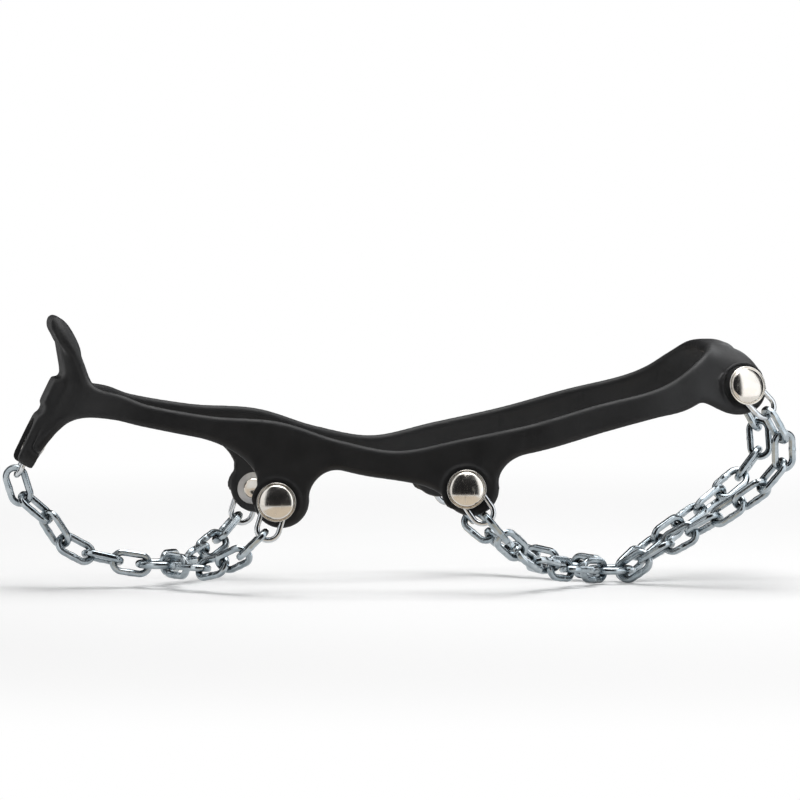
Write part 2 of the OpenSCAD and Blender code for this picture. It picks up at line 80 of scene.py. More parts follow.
# Places along the band, counted in stations, where the tab and the heel have run out
TAB_CLEAR, HEEL_TO = 3, 2
BRIDGE_CROWN = 1.3
CROWN_FROM = 13.5
LOBE_R = 11.2
RIVET_LOW = 1.0
RIVET_BACK = 2.0
# Each side lobe: place along the band, drop of its rivet, reach back and forward, angles of its round head
ARCH_LOBE = (5, 27.0, 33.0, 28.0, 205.0, -5.0)
BALL_LOBE = (8, 15.5, 39.0, 21.0, 150.0, -8.0)
BAND_PULL, HEAD_PULL = 0.5, 0.25
TOE_RIVET = np.array([133.0, -34.5, 69.95])
TOE_YAW, TOE_TILT = math.radians(17), math.radians(12)
TOE_LOBE_R = 10.6
TOE_FILLET = 9.0
TOE_FROM, TOE_ROUND_FROM, TOE_ROUND_TO, TOE_TO = 12.4, 13.5, 14.2, 15.2
TOE_OPEN, TOE_CLOSE = 70.0, -25.0
TOE_BAND_PULL, TOE_HEAD_PULL = 0.2, 0.52
HEEL_PAD_T = 7.2
HEEL_PAD_HALF = 11.5
HEEL_PAD_TOP = 28.0
HEEL_PAD_END = 10.5
WEB_WIDE, WEB_DEEP, WEB_OUT = 13.0, 17.0, 1.0
HEEL_SEAT = -1.7
# Blocks of the heel pad, down from its rivet: the slab, the bare raised plate and the boss
SLAB_BACK, SLAB_CORNER, SLAB_EDGE = 1.2, 4.2, 2.2
PLATE_DOWN, PLATE_END, PLATE_IN = 1.4, -14.4, 1.8
PLATE_DEEP, PLATE_PROUD, PLATE_CORNER, PLATE_EDGE = 2.5, 0.1, 2.6, 0.8
BOSS_TOP, BOSS_DEEP, BOSS_EDGE = -11.8, 3.4, 2.4

# Rivets: cap, stem, flange and washer seat
CAP_R = 7.8
CAP_RIM = 0.9
# The cap's crown: where it turns over to the rim, its radius, and the radius of the turn
CAP_CROWN = 6.2
LOBE_CROWN = (14.0, 1.5)
HEEL_CROWN = (40.0, 0.4)
CAP_LIFT = 2.8
STEM_R = 2.5
FLANGE_R = 4.0
FLANGE_T = 0.7
WASHER_R = 6.5
WASHER_T = 1.0
LOBE_SEAT = 2.3
# Rolled edges of the cap's under side, its rim and the flange, and the groove inside the rim
CAP_TURN, RIM_ROLL, FLANGE_ROLL, GROOVE = 0.4, 0.25, 0.25, 0.35
# Room round stem and washer, and round the cap in the heel pad's recess
FIT_ROOM, CAP_ROOM = 0.15, 0.4

# Chain
LINK_WIRE, LINK_GAP, LINK_SPAN, LINK_CHAMFER = 2.6, 5.0, 7.1, 0.65
HOOK_WIRE, HOOK_GAP, HOOK_SPAN = 2.2, 6.6, 10.6
RING_WIRE, RING_IN = 3.0, 13.0
LINK_EDGE, LINK_WELD, WELD_WIDE = 0.35, 0.12, 0.9
# Round wire is square wire with its corners rounded by this share of half its size, in so many steps
ROUND_SHARE, ROUND_STEPS = 0.98, 6

# Faces that meet at a sharper turn than this keep their edge
RUBBER_SHARP, METAL_SHARP = math.radians(40), math.radians(32)

# Middle line of the band on the right side, heel to bridge: x, y, z, tilt of its face, half width
STATIONS = np.array([
    [-137, 0, 64.5, 26, 7], [-132, -16.8, 65.3, 22, 6.16], [-117.5, -28, 63.9, 14, 5.32],
    [-105, -32.52, 60.36, 8, 4.54], [-80, -35.56, 55.76, 5, 4.75], [-54.3, -38.5, 53, 6, 5.4],
    [-31, -40.97, 45.32, 6, 5.83], [-6, -44.2, 41, 8, 5.72], [20.6, -48, 46.3, 9, 5.4],
    [48.5, -49.5, 51.75, 10, 5.72], [74.5, -47.5, 58.91, 12, 5.72], [95, -46, 63.94, 14, 5.51],
    [107, -43, 67.56, 18, 6.5], [116.5, -39, 73.34, 28, 6.89], [124, -31, 79.12, 52, 7.15],
    [127, -16, 82.8, 77, 6.76], [127, 0, 83.6, 90, 6.5],
], float)
LAST = len(STATIONS) - 1


def unit(v):
    return v / np.linalg.norm(v)


def lerp(a, b, f):
    return a + (b - a) * f


def ease(f):
    g = min(1.0, max(0.0, f))
    return g * g * (3 - 2 * g)


def full_turn(n):
    return np.linspace(0, 2 * math.pi, n, False)


# ---- The band's middle line and its frames

# Half of the short step, in stations, over which a way along the band is taken
NUDGE = 0.02


def station(i):
    """Row i of the stations, mirrored past both ends."""
    inside = -i if i < 0 else 2 * LAST - i if i > LAST else i
    row = STATIONS[inside].copy()
    if inside != i:
        row[1] = -row[1]
    return row


def along(t):
    """The band's row at t, on a smooth curve through the stations."""
    i = min(LAST - 1, max(0, math.floor(t)))
    a, b, c, d = (station(i + k) for k in (-1, 0, 1, 2))
    f = t - i
    square, cube = 2 * a - 5 * b + 4 * c - d, 3 * b - a - 3 * c + d
    return 0.5 * (2 * b + (c - a) * f + square * f ** 2 + cube * f ** 3)


def speed(t):
    return np.linalg.norm(along(t + NUDGE)[:3] - along(t - NUDGE)[:3]) / (2 * NUDGE)


def band_frame(t):
    """Middle, way along, way out and way down of the band at t."""
    row = along(t)
    way = unit(along(t + NUDGE)[:3] - along(t - NUDGE)[:3])
    tilt = math.radians(row[3])
    lift = unit(np.array([way[1], -way[0], 0])) * math.cos(tilt) + UP * math.sin(tilt)
    out = unit(lift - (lift @ way) * way)
    return row[:3], way, out, np.cross(way, out)


def lobe_frame(t):
    """Frame of a side lobe, which hangs straight down from the band."""
    middle, way, _, _ = band_frame(t)
    way = unit(way * [1, 1, 0])
    tilt = math.radians(along(t)[3])
    out = np.array([way[1], -way[0], 0]) * math.cos(tilt) + UP * math.sin(tilt)
    return middle, way, out, np.cross(way, out)


def toe_frame():
    out = np.array([math.sin(TOE_YAW) * math.cos(TOE_TILT), -math.cos(TOE_YAW) * math.cos(TOE_TILT),
                    math.sin(TOE_TILT)])
    way = np.array([math.cos(TOE_YAW), math.sin(TOE_YAW), 0])
    return TOE_RIVET, way, out, np.cross(way, out)


# ---- The pull tab, and the middle surface of the sling

def tab_share(t):
    return 0.0 if t > TAB_CLEAR else 1 - ease((abs(along(t)[1]) - TAB_FROM) / (TAB_TO - TAB_FROM))


def grip_share(t):
    return 0.0 if t > HEEL_TO else 1 - ease((abs(along(t)[1]) - TAB_HALF * 1.05) / (TAB_HALF * 0.4))


def upper(t):
    return -lerp(along(t)[4], TAB_H, tab_share(t) ** 1.6)


def stand_off(t, w):
    """How far the middle surface stands out from the band: the tab's lean, and the bridge's crown."""
    lean = TAB_LEAN * tab_share(t) * max(0, -w - TAB_BEND) / (TAB_H - TAB_BEND)
    crown = BRIDGE_CROWN * ease((t - CROWN_FROM) / (LAST - CROWN_FROM))
    return lean + crown * max(0, 1 - (w / along(t)[4]) ** 2)


def on_band(t, w):
    middle, _, out, down = band_frame(t)
    return middle + down * w + out * stand_off(t, w), out


def on_lobe(place, x, y):
    middle, way, out, down = place
    return middle + way * x + down * y, out


def mixed(a, b, f):
    return lerp(a[0], b[0], f), unit(lerp(a[1], b[1], f))


# ---- The lower edge: points with their way out, and the t of the upper edge above each

def bent(a, way_a, b, way_b, f):
    """A smooth curve from one spot, along its way, to another spot and its way."""
    g = 1 - f
    leaves, arrives = a[0] + way_a, b[0] - way_b
    spot = a[0] * g ** 3 + leaves * 3 * g * g * f + arrives * 3 * g * f * f + b[0] * f ** 3
    return spot, unit(lerp(a[1], b[1], ease(f)))


def edge_spot(t):
    return on_band(t, along(t)[4])


def edge_way(t):
    return unit(edge_spot(t + NUDGE)[0] - edge_spot(t - NUDGE)[0])


def head_way(place, angle):
    a = math.radians(angle)
    return place[1] * math.sin(a) - place[3] * math.cos(a)


def plain_rail(a, b, n):
    return [(*edge_spot(t), t) for t in np.linspace(a, b, n, endpoint=False)]


def heel_rail(end, n):
    """Round the heel, where a curved web fills the corners between the band and the pad's sides."""
    middle, _, pad_out, _ = band_frame(0)
    rail = []
    for t in np.linspace(0, end, n, endpoint=False):
        off = 1 - min(1.0, max(0.0, (abs(along(t)[1]) - HEEL_PAD_HALF) / WEB_WIDE))
        web = 1 - math.sqrt(1 - off * off)
        spot, out = on_band(t, along(t)[4] + WEB_DEEP * web)
        rail.append((spot + pad_out * (WEB_OUT - (spot - middle) @ pad_out) * web, out, t))
    return rail


def lobe_ends(lobe):
    t, _, back, front = lobe[:4]
    return t + (RIVET_BACK - back) / speed(t), t + (RIVET_BACK + front) / speed(t)


def lobe_rail(lobe, steps=26, round_steps=42):
    """Down from the band, round a side lobe's head and back up to the band."""
    t, drop, _, _, opens, closes = lobe
    place = lobe_frame(t)
    t_from, t_to = lobe_ends(lobe)

    def head(angle):
        a = math.radians(angle)
        return on_lobe(place, RIVET_BACK + LOBE_R * math.cos(a), drop - RIVET_LOW + LOBE_R * math.sin(a))

    start, end, first, final = edge_spot(t_from), edge_spot(t_to), head(opens), head(closes)
    reach_in, reach_off = np.linalg.norm(first[0] - start[0]), np.linalg.norm(end[0] - final[0])
    shares = np.linspace(0, 1, steps, endpoint=False)
    spots = [bent(start, edge_way(t_from) * reach_in * BAND_PULL,
                  first, head_way(place, opens) * reach_in * HEAD_PULL, f) for f in shares]
    spots += [head(a) for a in np.linspace(opens, closes, round_steps + 1)]
    spots += [bent(final, head_way(place, closes) * reach_off * HEAD_PULL,
                   end, edge_way(t_to) * reach_off * BAND_PULL, f) for f in shares[1:]]
    return [(*spot, lerp(t_from, t_to, i / len(spots))) for i, spot in enumerate(spots)]


def toe_rail(steps=26, round_steps=26, fillet_steps=14):
    """From the band round the toe lobe's head, and through a fillet up to the bridge."""
    place = toe_frame()

    def head(angle):
        a = math.radians(angle)
        return on_lobe(place, TOE_LOBE_R * math.cos(a), TOE_LOBE_R * math.sin(a))

    start, first, final, bridge = edge_spot(TOE_FROM), head(TOE_OPEN), head(TOE_CLOSE), edge_spot(TOE_TO)
    run = np.linalg.norm(first[0] - start[0])
    rail = [(*bent(start, edge_way(TOE_FROM) * run * TOE_BAND_PULL, first,
                   head_way(place, TOE_OPEN) * run * TOE_HEAD_PULL, f), lerp(TOE_FROM, TOE_ROUND_FROM, f))
            for f in np.linspace(0, 1, steps, endpoint=False)]
    rail += [(*head(lerp(TOE_OPEN, TOE_CLOSE, f)), lerp(TOE_ROUND_FROM, TOE_ROUND_TO, f))
             for f in np.linspace(0, 1, round_steps + 1)]
    pulled = final[0] + head_way(place, TOE_CLOSE) * TOE_FILLET, final[1]
    rail += [(*mixed(mixed(final, pulled, f), mixed(pulled, bridge, f), f), lerp(TOE_ROUND_TO, TOE_TO, f))
             for f in np.linspace(0, 1, fillet_steps, endpoint=False)[1:]]
    return rail


def lower_rail():
    arch_from, arch_to = lobe_ends(ARCH_LOBE)
    ball_from, ball_to = lobe_ends(BALL_LOBE)
    return (
        heel_rail(HEEL_TO, 56)
        + plain_rail(HEEL_TO, arch_from, 22)
        + lobe_rail(ARCH_LOBE)
        + plain_rail(arch_to, ball_from, 6)
        + lobe_rail(BALL_LOBE)
        + plain_rail(ball_to, TOE_FROM, 36)
        + toe_rail()
        + plain_rail(TOE_TO, LAST, 24)
        + [(*edge_spot(LAST), LAST)]
    )


def sling_section(rail, i, arc=6, neck_steps=3, face_steps=10):
    """One closed ring of points: over the upper edge, down outside, round the lower edge and up inside."""
    low, out, t = rail[i]
    before = rail[1][0] * OTHER_SIDE if i == 0 else rail[i - 1][0]
    after = rail[-2][0] * OTHER_SIDE if i == len(rail) - 1 else rail[i + 1][0]
    edge = unit(np.cross(after - before, out))
    r, top = BAND_T / 2, upper(t)
    bead = lerp(r, BEAD_R, grip_share(t))
    neck_r = lerp(r, TAB_T / 2, tab_share(t))
    middle, _, band_out, down = band_frame(t)
    foot_w = max(along(t)[4], (low - middle) @ down) if t < HEEL_TO else along(t)[4]
    rows = []
    for a in np.linspace(0, math.pi / 2, arc):
        rows.append((*on_band(t, top + bead * (1 - math.cos(a))), bead * math.sin(a)))
    for f in np.linspace(0, 1, neck_steps + 1)[1:]:
        rows.append((*on_band(t, top + bead * lerp(1, NECK_AT, f)), lerp(bead, neck_r, ease(f))))
    neck_w = top + bead * NECK_AT
    neck, foot = on_band(t, neck_w), (low - edge * r, out)
    for f in np.linspace(0, 1, face_steps + 1)[1:]:
        spot = mixed(neck, foot, f)
        lift = stand_off(t, lerp(neck_w, foot_w, f)) - stand_off(t, neck_w) * (1 - f)
        rows.append((spot[0] + band_out * lift, spot[1], lerp(neck_r, r, f)))
    for a in np.linspace(math.pi / 2, 0, arc)[1:]:
        rows.append((low - edge * r * (1 - math.cos(a)), out, r * math.sin(a)))
    outer = [p + n * w for p, n, w in rows]
    inner = [p - n * w for p, n, w in rows[-2:0:-1]]
    return np.array(outer + inner)


# ---- Mesh helpers

def new_object(name, data):
    piece = bpy.data.objects.new(name, data)
    bpy.context.scene.collection.objects.link(piece)
    return piece


def mesh_object(name, points, faces):
    """A mesh in the shared frame, from points in millimetres, with its faces outward."""
    mesh = bpy.data.meshes.new(name)
    mesh.from_pydata((np.asarray(points) * MM).tolist(), [], faces)
    work = bmesh.new()
    work.from_mesh(mesh)
    bmesh.ops.recalc_face_normals(work, faces=work.faces)
    work.to_mesh(mesh)
    work.free()
    return new_object(name, mesh)


def ring_faces(rings, points_each, closed=True):
    """Faces between rings of points, and from the last ring to the first where they close."""
    faces = []
    for i in range(rings if closed else rings - 1):
        for j in range(points_each):
            k, m = (i + 1) % rings, (j + 1) % points_each
            faces.append((i * points_each + j, i * points_each + m, k * points_each + m, k * points_each + j))
    return faces


def end_caps(rings, points_each):
    last = (rings - 1) * points_each
    return [tuple(range(points_each)), tuple(range(last, last + points_each))]


def prism(name, outline, low, high):
    """Straight form between two heights, with the outline as its foot and head."""
    n = len(outline)
    points = [(x, y, z) for z in (low, high) for x, y in outline]
    return mesh_object(name, points, ring_faces(2, n, closed=False) + end_caps(2, n))


def plain_mesh(piece):
    """Turns what the modifiers make into the piece's own mesh and removes them."""
    graph = bpy.context.evaluated_depsgraph_get()
    made = bpy.data.meshes.new_from_object(piece.evaluated_get(graph))
    piece.modifiers.clear()
    piece.data = made
    return piece


def seat(at, out, down):
    """Matrix from a rivet's own axes, x down, y aside and z out, to its place on the sling."""
    side = np.cross(out, down)
    matrix = Matrix.Identity(4)
    for column, axis in enumerate((down, side, out)):
        for row in range(3):
            matrix[row][column] = float(axis[row])
    matrix.translation = Vector([float(x) * MM for x in at])
    return matrix


# ---- Where the frame puts rivets and links

joints = {j["child"]: j for j in frame["joints"]}
STRANDS = ("heel", "arch_right", "arch_left", "ball_right", "ball_left", "toe_right", "toe_left")


def rivet_place(strand):
    """Middle and way out of a strand's rivet, in millimetres, with the way down its lobe."""
    hinge = joints[strand + "_link_1"]
    at, out = np.array(hinge["pos_m"]) / MM, unit(np.array(hinge["axis"]))
    return at, out, unit(-UP + (UP @ out) * out)


def box_middle(node):
    lo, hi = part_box(node)
    return np.array((lo + hi) / 2) / MM


def hook_way(strand):
    """Way from a rivet along its hook link."""
    at, out, _ = rivet_place(strand)
    way = box_middle(strand + "_link_1") - at
    return unit(way - (way @ out) * out)


# ---- Shader groups and finishes

def group_with(name, inputs, outputs):
    group = bpy.data.node_groups.new(name, "ShaderNodeTree")
    for label, kind, value in inputs:
        socket = group.interface.new_socket(label, in_out="INPUT", socket_type=kind)
        if value is not None:
            socket.default_value = value
    for label, kind in outputs:
        group.interface.new_socket(label, in_out="OUTPUT", socket_type=kind)
    return group, group.nodes.new("NodeGroupInput"), group.nodes.new("NodeGroupOutput")


def mottle_group():
    """Soft cloudy patches between two values."""
    group, given, made = group_with(
        "cloudy_patches",
        [("Vector", "NodeSocketVector", None), ("Scale", "NodeSocketFloat", 100.0),
         ("Low", "NodeSocketFloat", 0.3), ("High", "NodeSocketFloat", 0.5)],
        [("Value", "NodeSocketFloat")])
    noise = group.nodes.new("ShaderNodeTexNoise")
    noise.inputs["Detail"].default_value = 4
    spread = group.nodes.new("ShaderNodeMapRange")
    spread.inputs["From Min"].default_value = 0.32
    spread.inputs["From Max"].default_value = 0.68
    link = group.links.new
    link(given.outputs["Vector"], noise.inputs["Vector"])
    link(given.outputs["Scale"], noise.inputs["Scale"])
    link(noise.outputs["Fac"], spread.inputs["Value"])
    link(given.outputs["Low"], spread.inputs["To Min"])
    link(given.outputs["High"], spread.inputs["To Max"])
    link(spread.outputs["Result"], made.inputs["Value"])
    return group


def scratch_group():
    """Fine scratches that run in two crossing directions, as a mask from 0 to 1."""
    group, given, made = group_with(
        "fine_scratches",
        [("Vector", "NodeSocketVector", None), ("Scale", "NodeSocketFloat", 900.0),
         ("Amount", "NodeSocketFloat", 0.5)],
        [("Mask", "NodeSocketFloat")])
    masks = []
    for turn, stretch in ((0.5, (1, 0.06, 0.2)), (-0.8, (0.08, 1, 0.25))):
        mapping = group.nodes.new("ShaderNodeMapping")
        mapping.inputs["Rotation"].default_value = (turn, turn * 0.7, turn)
        mapping.inputs["Scale"].default_value = stretch
        noise = group.nodes.new("ShaderNodeTexNoise")
        noise.inputs["Detail"].default_value = 2
        thin = group.nodes.new("ShaderNodeMapRange")
        thin.inputs["From Min"].default_value = 0.62
        thin.inputs["From Max"].default_value = 0.74
        group.links.new(given.outputs["Vector"], mapping.inputs["Vector"])
        group.links.new(mapping.outputs["Vector"], noise.inputs["Vector"])
        group.links.new(given.outputs["Scale"], noise.inputs["Scale"])
        group.links.new(noise.outputs["Fac"], thin.inputs["Value"])
        masks.append(thin.outputs["Result"])
    both = group.nodes.new("ShaderNodeMath")
    both.operation = "MAXIMUM"
    some = group.nodes.new("ShaderNodeMath")
    some.operation = "MULTIPLY"
    group.links.new(masks[0], both.inputs[0])
    group.links.new(masks[1], both.inputs[1])
    group.links.new(both.outputs[0], some.inputs[0])
    group.links.new(given.outputs["Amount"], some.inputs[1])
    group.links.new(some.outputs[0], made.inputs["Mask"])
    return group


patches = mottle_group()
scratches = scratch_group()
# Near-black that the colour is darkened toward where other faces stand close: painted shade
PAINTED_SHADE_BLACK = (0.03, 0.04, 0.045)


class Finish:
    """A material with its Principled shader, and short ways to place groups and bumps in it."""

    def __init__(self, name):
        self.material = bpy.data.materials.new(name)
        self.material.use_nodes = True
        self.nodes = self.material.node_tree.nodes
        self.link = self.material.node_tree.links.new
        self.shader = self.nodes["Principled BSDF"]
        self.place = self.nodes.new("ShaderNodeTexCoord").outputs["Object"]

    def group(self, tree, **values):
        node = self.nodes.new("ShaderNodeGroup")
        node.node_tree = tree
        self.link(self.place, node.inputs["Vector"])
        for label, value in values.items():
            node.inputs[label].default_value = value
        return node.outputs[0]

    def colour(self, mask, low, high):
        ramp = self.nodes.new("ShaderNodeMix")
        ramp.data_type = "RGBA"
        ramp.inputs["A"].default_value = (*low, 1)
        ramp.inputs["B"].default_value = (*high, 1)
        self.link(mask, ramp.inputs["Factor"])
        return ramp.outputs["Result"]

    def noise(self, scale, detail):
        node = self.nodes.new("ShaderNodeTexNoise")
        node.inputs["Scale"].default_value = scale
        node.inputs["Detail"].default_value = detail
        self.link(self.place, node.inputs["Vector"])
        return node.outputs["Fac"]

    def add(self, a, b):
        node = self.nodes.new("ShaderNodeMath")
        node.operation = "ADD"
        self.link(a, node.inputs[0])
        self.link(b, node.inputs[1])
        return node.outputs[0]

    def shade_painted_in_corners(self, colour, near, depth):
        """Painted shade: colour darkened toward a near-black where other faces stand close, in corners and between
        parts.
        """
        node = self.nodes.new("ShaderNodeAmbientOcclusion")
        node.samples = 4
        node.inputs["Distance"].default_value = near
        shade = self.nodes.new("ShaderNodeMapRange")
        shade.inputs["To Min"].default_value = depth
        self.link(node.outputs["AO"], shade.inputs["Value"])
        mix = self.nodes.new("ShaderNodeMix")
        mix.data_type = "RGBA"
        mix.inputs["A"].default_value = (*PAINTED_SHADE_BLACK, 1)
        self.link(shade.outputs["Result"], mix.inputs["Factor"])
        self.link(colour, mix.inputs["B"])
        return mix.outputs["Result"]

    def bump(self, height, strength, distance, below=None):
        node = self.nodes.new("ShaderNodeBump")
        node.inputs["Strength"].default_value = strength
        node.inputs["Distance"].default_value = distance
        self.link(height, node.inputs["Height"])
        if below is not None:
            self.link(below, node.inputs["Normal"])
        return node.outputs["Normal"]

    def set(self, **values):
        for label, value in values.items():
            self.shader.inputs[label.replace("_", " ")].default_value = value

    def feed(self, **sockets):
        for label, socket in sockets.items():
            self.link(socket, self.shader.inputs[label.replace("_", " ")])


def moulded_rubber():
    f = Finish("moulded_rubber")
    f.set(Specular_IOR_Level=0.35)
    f.feed(
        Base_Color=f.colour(f.group(patches, Scale=55.0, Low=0.0, High=1.0), (0.009, 0.009, 0.0095),
                            (0.014, 0.014, 0.0145)),
        Roughness=f.add(f.group(patches, Scale=140.0, Low=0.46, High=0.58),
                        f.group(scratches, Scale=420.0, Amount=0.12)),
        Normal=f.bump(f.noise(2600.0, 2.0), 0.35, 0.00006, f.bump(f.noise(420.0, 3.0), 0.2, 0.0002)),
    )
    return f.material


def bright_nickel():
    f = Finish("bright_nickel")
    f.set(Metallic=1.0)
    f.feed(
        Base_Color=f.colour(f.group(patches, Scale=160.0, Low=0.0, High=1.0), (0.74, 0.70, 0.64),
                            (0.82, 0.79, 0.74)),
        Roughness=f.add(f.group(patches, Scale=300.0, Low=0.12, High=0.19),
                        f.group(scratches, Scale=900.0, Amount=0.16)),
        Normal=f.bump(f.group(scratches, Scale=900.0, Amount=1.0), 0.06, 0.00003),
    )
    return f.material


def zinc_plate():
    f = Finish("zinc_plate")
    f.set(Metallic=1.0)
    f.feed(
        # The links' colour darkens where other faces stand close: painted shade in corners and between links
        Base_Color=f.shade_painted_in_corners(f.colour(f.group(patches, Scale=260.0, Low=0.0, High=1.0), (0.36, 0.42, 0.46),
                                   (0.55, 0.60, 0.63)), 0.004, 0.15),
        Roughness=f.add(f.group(patches, Scale=380.0, Low=0.14, High=0.25),
                        f.group(scratches, Scale=700.0, Amount=0.12)),
        Normal=f.bump(f.noise(1300.0, 2.0), 0.05, 0.00006, f.bump(f.noise(300.0, 2.0), 0.06, 0.0002)),
    )
    return f.material


def drawn_wire():
    f = Finish("drawn_wire")
    f.set(Metallic=1.0)
    f.feed(
        Base_Color=f.colour(f.group(patches, Scale=300.0, Low=0.0, High=1.0), (0.60, 0.63, 0.66),
                            (0.74, 0.76, 0.77)),
        Roughness=f.add(f.group(patches, Scale=500.0, Low=0.1, High=0.18),
                        f.group(scratches, Scale=1200.0, Amount=0.15)),
        Normal=f.bump(f.noise(1800.0, 2.0), 0.06, 0.00005),
    )
    return f.material


def plain_steel():
    f = Finish("plain_steel")
    f.set(Metallic=1.0)
    f.feed(
        Base_Color=f.colour(f.group(patches, Scale=260.0, Low=0.0, High=1.0), (0.42, 0.42, 0.43),
                            (0.58, 0.58, 0.58)),
        Roughness=f.add(f.group(patches, Scale=400.0, Low=0.3, High=0.42),
                        f.group(scratches, Scale=800.0, Amount=0.2)),
        Normal=f.bump(f.noise(1400.0, 3.0), 0.15, 0.00006),
    )
    return f.material


rubber, nickel, zinc = moulded_rubber(), bright_nickel(), zinc_plate()
wire, steel = drawn_wire(), plain_steel()


# ---- Sling

VOXEL = 0.62
SMOOTH_TURNS = 5
# The heel pad's inner corners: rounds of softening, how near it is full and how far it ends, and where they run
ROOT_TURNS = 60
ROOT_NEAR, ROOT_FAR = 2.0, 6.5
ROOT_TOP, ROOT_LOW, ROOT_Z = -27, -8, -0.6
COLLAR_R, COLLAR_WIRE = 9.3, 0.9
COLLAR_STEPS, COLLAR_SIDES, COLLAR_TAPER = 64, 16, 6
COLLAR_RISE = {"toe": 0.1, "arch": -0.25, "ball": -0.25}
COLLAR_OPEN = math.radians(62)


def sling_body():
    rail = lower_rail()
    half = [sling_section(rail, i) for i in range(len(rail))]
    rings = half + [half[i] * OTHER_SIDE for i in range(len(rail) - 2, 0, -1)]
    return mesh_object("sling_body", np.concatenate(rings), ring_faces(len(rings), len(rings[0])))


def heel_block(x_from, x_to, half, z_from, z_to, corner, edge):
    """Block in the heel rivet's axes, with round corners and rounded outer edges."""
    outline = []
    for i, (x, y) in enumerate(((x_to - corner, half - corner), (x_from + corner, half - corner),
                                (x_from + corner, corner - half), (x_to - corner, corner - half))):
        outline += [(x + corner * math.cos(a), y + corner * math.sin(a))
                    for a in np.linspace(i * math.pi / 2, (i + 1) * math.pi / 2, 9)]
    block = prism("heel_block", outline, z_from, z_to)
    work = bmesh.new()
    work.from_mesh(block.data)
    rim = [e for e in work.edges if all(abs(v.co.z - z_to * MM) < 1e-7 for v in e.verts)]
    bmesh.ops.bevel(work, geom=rim, offset=edge * MM, segments=5, profile=0.5, affect="EDGES")
    work.to_mesh(block.data)
    work.free()
    block.data.transform(seat(*rivet_place("heel")))
    return block


def heel_pad():
    """Thick pad behind the heel: a slab, a bare raised plate, and a boss round the rivet."""
    half, top, face = HEEL_PAD_HALF, -HEEL_PAD_TOP, HEEL_PAD_T / 2
    return [
        heel_block(top, HEEL_PAD_END, half, -face, face - SLAB_BACK, SLAB_CORNER, SLAB_EDGE),
        heel_block(top + PLATE_DOWN, PLATE_END, half - PLATE_IN, face - PLATE_DEEP, face + PLATE_PROUD,
                   PLATE_CORNER, PLATE_EDGE),
        heel_block(BOSS_TOP, HEEL_PAD_END, half, face - BOSS_DEEP, face, SLAB_CORNER, BOSS_EDGE),
    ]


def cap_collar(strand):
    """Low moulded ridge round a rivet's cap, open where the hook link leaves."""
    at, out, _ = rivet_place(strand)
    way = hook_way(strand)
    side = np.cross(out, way)
    middle = at + out * (BAND_T / 2 + COLLAR_RISE[strand.split("_")[0]])
    rings = []
    for i, a in enumerate(np.linspace(COLLAR_OPEN, 2 * math.pi - COLLAR_OPEN, COLLAR_STEPS)):
        spoke = way * math.cos(a) + side * math.sin(a)
        taper = min(1.0, i / COLLAR_TAPER, (COLLAR_STEPS - 1 - i) / COLLAR_TAPER) * 0.9 + 0.1
        rings.append([middle + spoke * (COLLAR_R + COLLAR_WIRE * taper * math.cos(b))
                      + out * COLLAR_WIRE * taper * math.sin(b) for b in full_turn(COLLAR_SIDES)])
    faces = ring_faces(COLLAR_STEPS, COLLAR_SIDES, closed=False) + end_caps(COLLAR_STEPS, COLLAR_SIDES)
    return mesh_object("collar_" + strand, np.concatenate(rings), faces)


def cylinder(radius, low, high, place, sides=64):
    outline = [(radius * math.cos(a), radius * math.sin(a)) for a in full_turn(sides)]
    form = prism("cutter", outline, low, high)
    form.data.transform(place)
    return form


def joined(name, pieces):
    work = bmesh.new()
    for p in pieces:
        work.from_mesh(p.data)
    mesh = bpy.data.meshes.new(name)
    work.to_mesh(mesh)
    work.free()
    for p in pieces:
        bpy.data.objects.remove(p)
    return new_object(name, mesh)


def cut_away(piece, cutters):
    for form in cutters:
        cut = piece.modifiers.new("room", "BOOLEAN")
        cut.operation = "DIFFERENCE"
        cut.solver = "EXACT"
        cut.object = form
    plain_mesh(piece)
    for form in cutters:
        bpy.data.objects.remove(form)
    return piece


def rivet_rooms():
    """Stem holes and washer seats, as forms to cut away."""
    cutters = []
    for strand in STRANDS:
        place = seat(*rivet_place(strand))
        inner = HEEL_PAD_T / 2 if strand == "heel" else BAND_T / 2 - WASHER_T - FLANGE_T
        cutters.append(cylinder(STEM_R + FIT_ROOM, -15, 15, place))
        cutters.append(cylinder(WASHER_R + FIT_ROOM, -inner - 12, -inner, place))
    return cutters


def hook_recess():
    """The heel pad's recess for the cap and the hook link, open at the pad's foot."""
    wide, deep = CAP_R + CAP_ROOM, HEEL_PAD_T
    turn = np.linspace(math.pi / 2, 3 * math.pi / 2, 33)
    outline = [(wide * math.cos(a), wide * math.sin(a)) for a in turn] + [(14, -wide), (14, wide)]
    form = prism("recess", outline, HEEL_SEAT, HEEL_SEAT + deep)
    form.data.transform(seat(*rivet_place("heel")))
    return form


def soften_heel_root(sling):
    """Rounds the inner corners where the heel pad's sides leave the band."""
    mesh = sling.data
    spots = np.empty(len(mesh.vertices) * 3)
    mesh.vertices.foreach_get("co", spots)
    at, out, down = rivet_place("heel")
    off = spots.reshape(-1, 3) / MM - at
    x, y, z = off @ down, off @ np.cross(out, down), off @ out
    away = np.sqrt((np.abs(y) - HEEL_PAD_HALF) ** 2 + (z - ROOT_Z) ** 2 + np.maximum(0, x - ROOT_LOW) ** 2
                   + np.maximum(0, ROOT_TOP - x) ** 2)
    share = np.clip((ROOT_FAR - away) / (ROOT_FAR - ROOT_NEAR), 0, 1)
    group = sling.vertex_groups.new(name="heel_root")
    for i in np.nonzero(share > 0)[0]:
        group.add([int(i)], float(share[i]), "REPLACE")
    soften = sling.modifiers.new("heel_root", "SMOOTH")
    soften.factor = 0.5
    soften.iterations = ROOT_TURNS
    soften.vertex_group = group.name
    plain_mesh(sling)
    sling.vertex_groups.clear()


